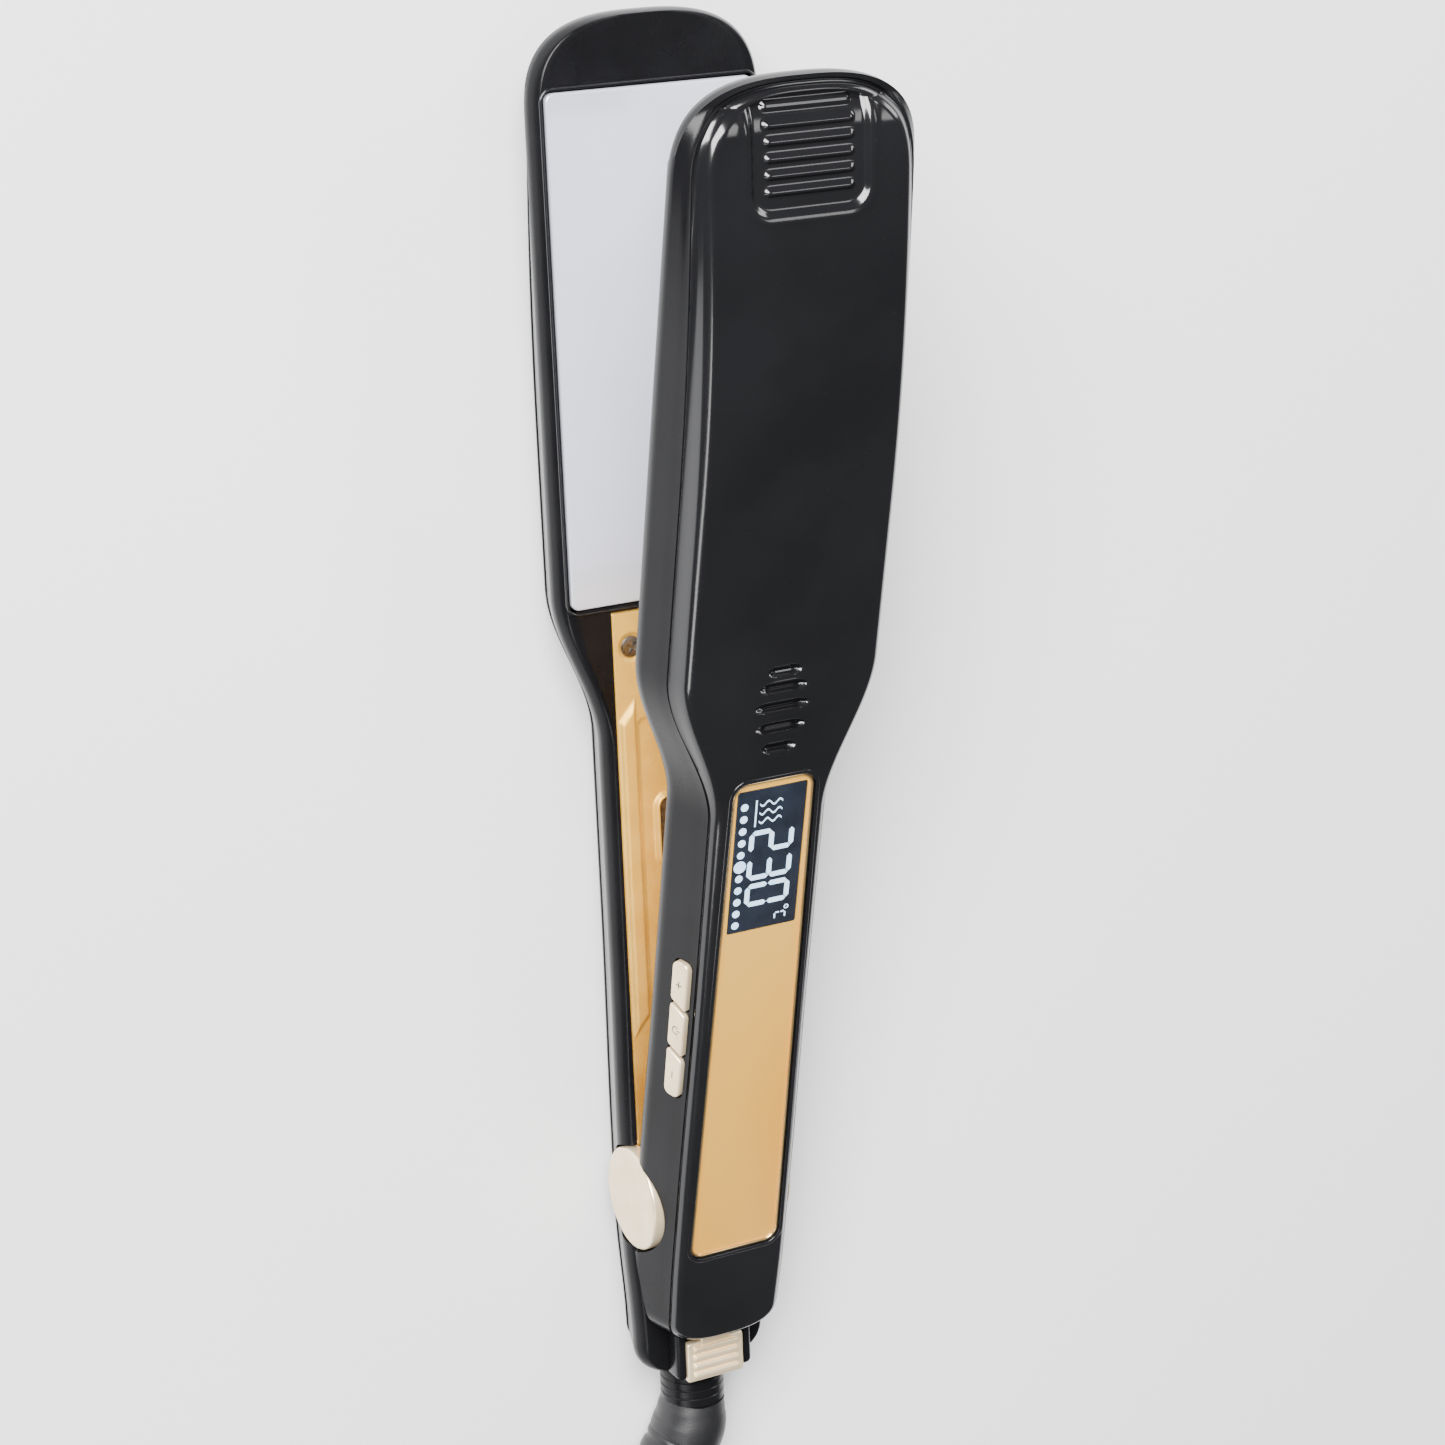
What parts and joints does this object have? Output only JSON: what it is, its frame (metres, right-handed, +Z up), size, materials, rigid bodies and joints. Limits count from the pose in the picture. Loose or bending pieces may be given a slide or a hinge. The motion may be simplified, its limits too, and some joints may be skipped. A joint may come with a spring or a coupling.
{
  "type": "flat iron",
  "caption": "Hinged hair straightener with wide floating heating plates, a display panel, side buttons, a lock slider, a swivelling neck and a tied mains cord.",
  "frame": {"origin": "on the table under the middle of the iron, measured without its cord", "axes": "+Y from the cord end to the tip, +X across, +Z up; the buttons are on the -X side"},
  "size_m": [0.0608, 0.5934, 0.0837],
  "materials": {
    "gloss_black": "high-gloss black lacquer",
    "satin_black": "fine satin black",
    "inner_black": "matt black, unseen inside",
    "mirror_plate": "mirror-polished metal coating",
    "sanded_gold": "fine-grained gold lacquer",
    "panel_gold": "gold under a clear cover",
    "champagne": "satin champagne metallic lacquer",
    "screen": "dark display film",
    "clear": "clear and glossy",
    "dark_steel": "blackened",
    "spring_steel": "drawn",
    "ceramic": "fired, unglazed",
    "silicone": "matt silicone",
    "board": "green solder mask",
    "cord_rubber": "fine matt black",
    "tie_fabric": "woven hook-and-loop strap",
    "pin_metal": "bright plating"
  },
  "bodies": {
    "lower_arm": {"cord_hank": "cord_rubber", "cord_lead": "cord_rubber", "cord_tie": "tie_fabric", "guide_socket": "dark_steel", "hinge_cap_left": "champagne", "hinge_cap_right": "champagne", "hinge_pin": "spring_steel", "hinge_spring": "spring_steel", "lower_cushion_front": "silicone", "lower_cushion_rear": "silicone", "lower_hinge_bracket": "dark_steel", "lower_housing": "satin_black", "lower_inner_cover": "sanded_gold", "lower_leads": "silicone", "lower_plate_holder": "inner_black", "lower_screw_left": "dark_steel", "lower_screw_right": "dark_steel", "lower_shell": "gloss_black", "mains_board": "board", "plug_body": "cord_rubber", "plug_lead": "cord_rubber", "plug_pin_left": "pin_metal", "plug_pin_right": "pin_metal", "strain_relief": "cord_rubber", "thermal_fuse": "ceramic"},
    "upper_arm": {"button_board": "board", "control_board": "board", "display_module": "inner_black", "display_screen": "screen", "guide_tongue": "satin_black", "lock_catch": "dark_steel", "panel_cover": "clear", "panel_inlay": "panel_gold", "switch_minus": "dark_steel", "switch_plus": "dark_steel", "switch_power": "dark_steel", "upper_cushion_front": "silicone", "upper_cushion_rear": "silicone", "upper_hinge_bracket": "dark_steel", "upper_housing": "satin_black", "upper_inner_cover": "sanded_gold", "upper_leads": "silicone", "upper_plate_holder": "inner_black", "upper_screw_left": "dark_steel", "upper_screw_right": "dark_steel", "upper_shell": "gloss_black"},
    "lower_plate_body": {"lower_plate": "mirror_plate", "lower_heater": "ceramic", "lower_heater_clamp": "spring_steel"},
    "upper_plate_body": {"upper_plate": "mirror_plate", "upper_heater": "ceramic", "upper_heater_clamp": "spring_steel"},
    "button_plus_body": {"button_plus": "champagne"},
    "button_power_body": {"button_power": "champagne"},
    "button_minus_body": {"button_minus": "champagne"},
    "lock_slider_body": {"lock_slider": "champagne"},
    "swivel_collar_body": {"swivel_collar": "satin_black"}
  },
  "joints": [
    {"name": "arm_hinge", "type": "hinge", "parent": "lower_arm", "child": "upper_arm", "pos_m": [0, -0.0991, 0.0178], "axis": [1, 0, 0], "range_deg": [-13.3, 0], "stiffness_Nm_per_rad": 0.8, "springref_deg": 20.05},
    {"name": "lower_plate_float", "type": "slide", "parent": "lower_arm", "child": "lower_plate_body", "axis": [0, 0, -1], "range_m": [0, 0.001], "stiffness_N_per_m": 3000, "springref_m": -0.001},
    {"name": "upper_plate_float", "type": "slide", "parent": "upper_arm", "child": "upper_plate_body", "axis": [0, -0.23, 0.9732], "range_m": [0, 0.001], "stiffness_N_per_m": 3000, "springref_m": -0.001},
    {"name": "press_plus", "type": "slide", "parent": "upper_arm", "child": "button_plus_body", "axis": [0.9355, 0.0813, -0.3438], "range_m": [0, 0.0006], "stiffness_N_per_m": 1250, "springref_m": -0.001},
    {"name": "press_power", "type": "slide", "parent": "upper_arm", "child": "button_power_body", "axis": [0.9355, 0.0813, -0.3438], "range_m": [0, 0.0006], "stiffness_N_per_m": 1250, "springref_m": -0.001},
    {"name": "press_minus", "type": "slide", "parent": "upper_arm", "child": "button_minus_body", "axis": [0.9355, 0.0813, -0.3438], "range_m": [0, 0.0006], "stiffness_N_per_m": 1250, "springref_m": -0.001},
    {"name": "lock_slide", "type": "slide", "parent": "lower_arm", "child": "lock_slider_body", "axis": [0, 1, 0], "range_m": [0, 0.006]},
    {"name": "neck_swivel", "type": "hinge", "parent": "lower_arm", "child": "swivel_collar_body", "pos_m": [0, -0.149, 0.0096], "axis": [0, 1, 0], "continuous": true}
  ]
}
